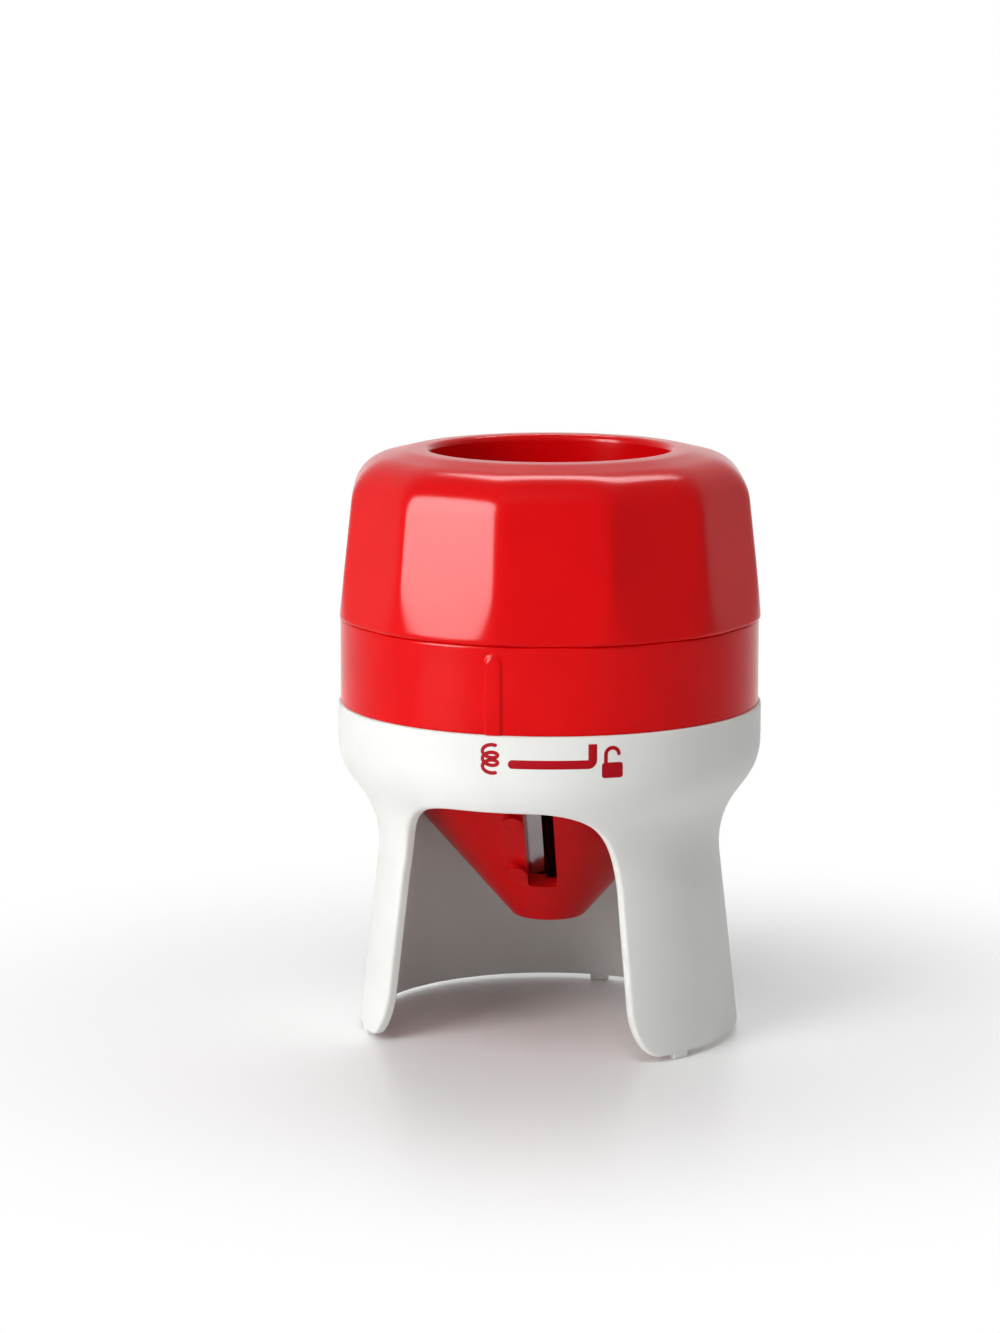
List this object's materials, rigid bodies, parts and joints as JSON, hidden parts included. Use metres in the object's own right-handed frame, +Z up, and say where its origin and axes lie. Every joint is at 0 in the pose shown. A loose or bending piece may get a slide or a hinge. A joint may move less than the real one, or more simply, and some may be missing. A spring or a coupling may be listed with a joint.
{
  "type": "handheld spiralizer",
  "caption": "Handheld vegetable spiralizer: arched bell stand, turn-lock ring with a conical cutter, and a faceted palm knob with prongs that lifts out and turns.",
  "frame": {"origin": "centre of the stand's foot circle, on the surface it stands on", "axes": "+Z up along the axis of rotation, -Y out of the stand's arch, +X to the right seen from the arch"},
  "size_m": [0.0918, 0.0918, 0.1268],
  "materials": {
    "stand_white": "satin moulded off-white plastic with a very fine grain",
    "ring_red": "semi-gloss moulded red plastic",
    "cone_red": "semi-gloss moulded red plastic",
    "blade_steel": "ground stainless blade",
    "comb_steel": "stamped stainless comb",
    "screw_steel": "stainless screw",
    "knob_red": "gloss moulded red plastic",
    "core_red": "semi-gloss moulded red plastic",
    "carrier_red": "semi-gloss moulded red plastic",
    "prong_steel": "polished stainless spike"
  },
  "bodies": {
    "stand": {"base_stand": "stand_white"},
    "cutter": {"guide_ring": "ring_red", "cutter_cone": "cone_red", "slicing_blade": "blade_steel", "julienne_comb": "comb_steel", "blade_screw_lower": "screw_steel", "blade_screw_upper": "screw_steel"},
    "spike": {"centre_spike": "prong_steel"},
    "holder": {"knob_shell": "knob_red", "holder_core": "core_red", "prong_carrier": "carrier_red", "prong_1": "prong_steel", "prong_2": "prong_steel", "prong_3": "prong_steel", "prong_4": "prong_steel", "prong_5": "prong_steel", "prong_6": "prong_steel"}
  },
  "joints": [
    {"name": "cutter_lock", "type": "hinge", "parent": "stand", "child": "cutter", "pos_m": [0, 0, 0.07], "axis": [0, 0, 1], "range_deg": [0, 28]},
    {"name": "holder_lift", "type": "slide", "parent": "cutter", "child": "spike", "axis": [0, 0, 1], "range_m": [0, 0.048]},
    {"name": "holder_turn", "type": "hinge", "parent": "spike", "child": "holder", "pos_m": [0, 0, 0.07], "axis": [0, 0, 1], "continuous": true}
  ]
}
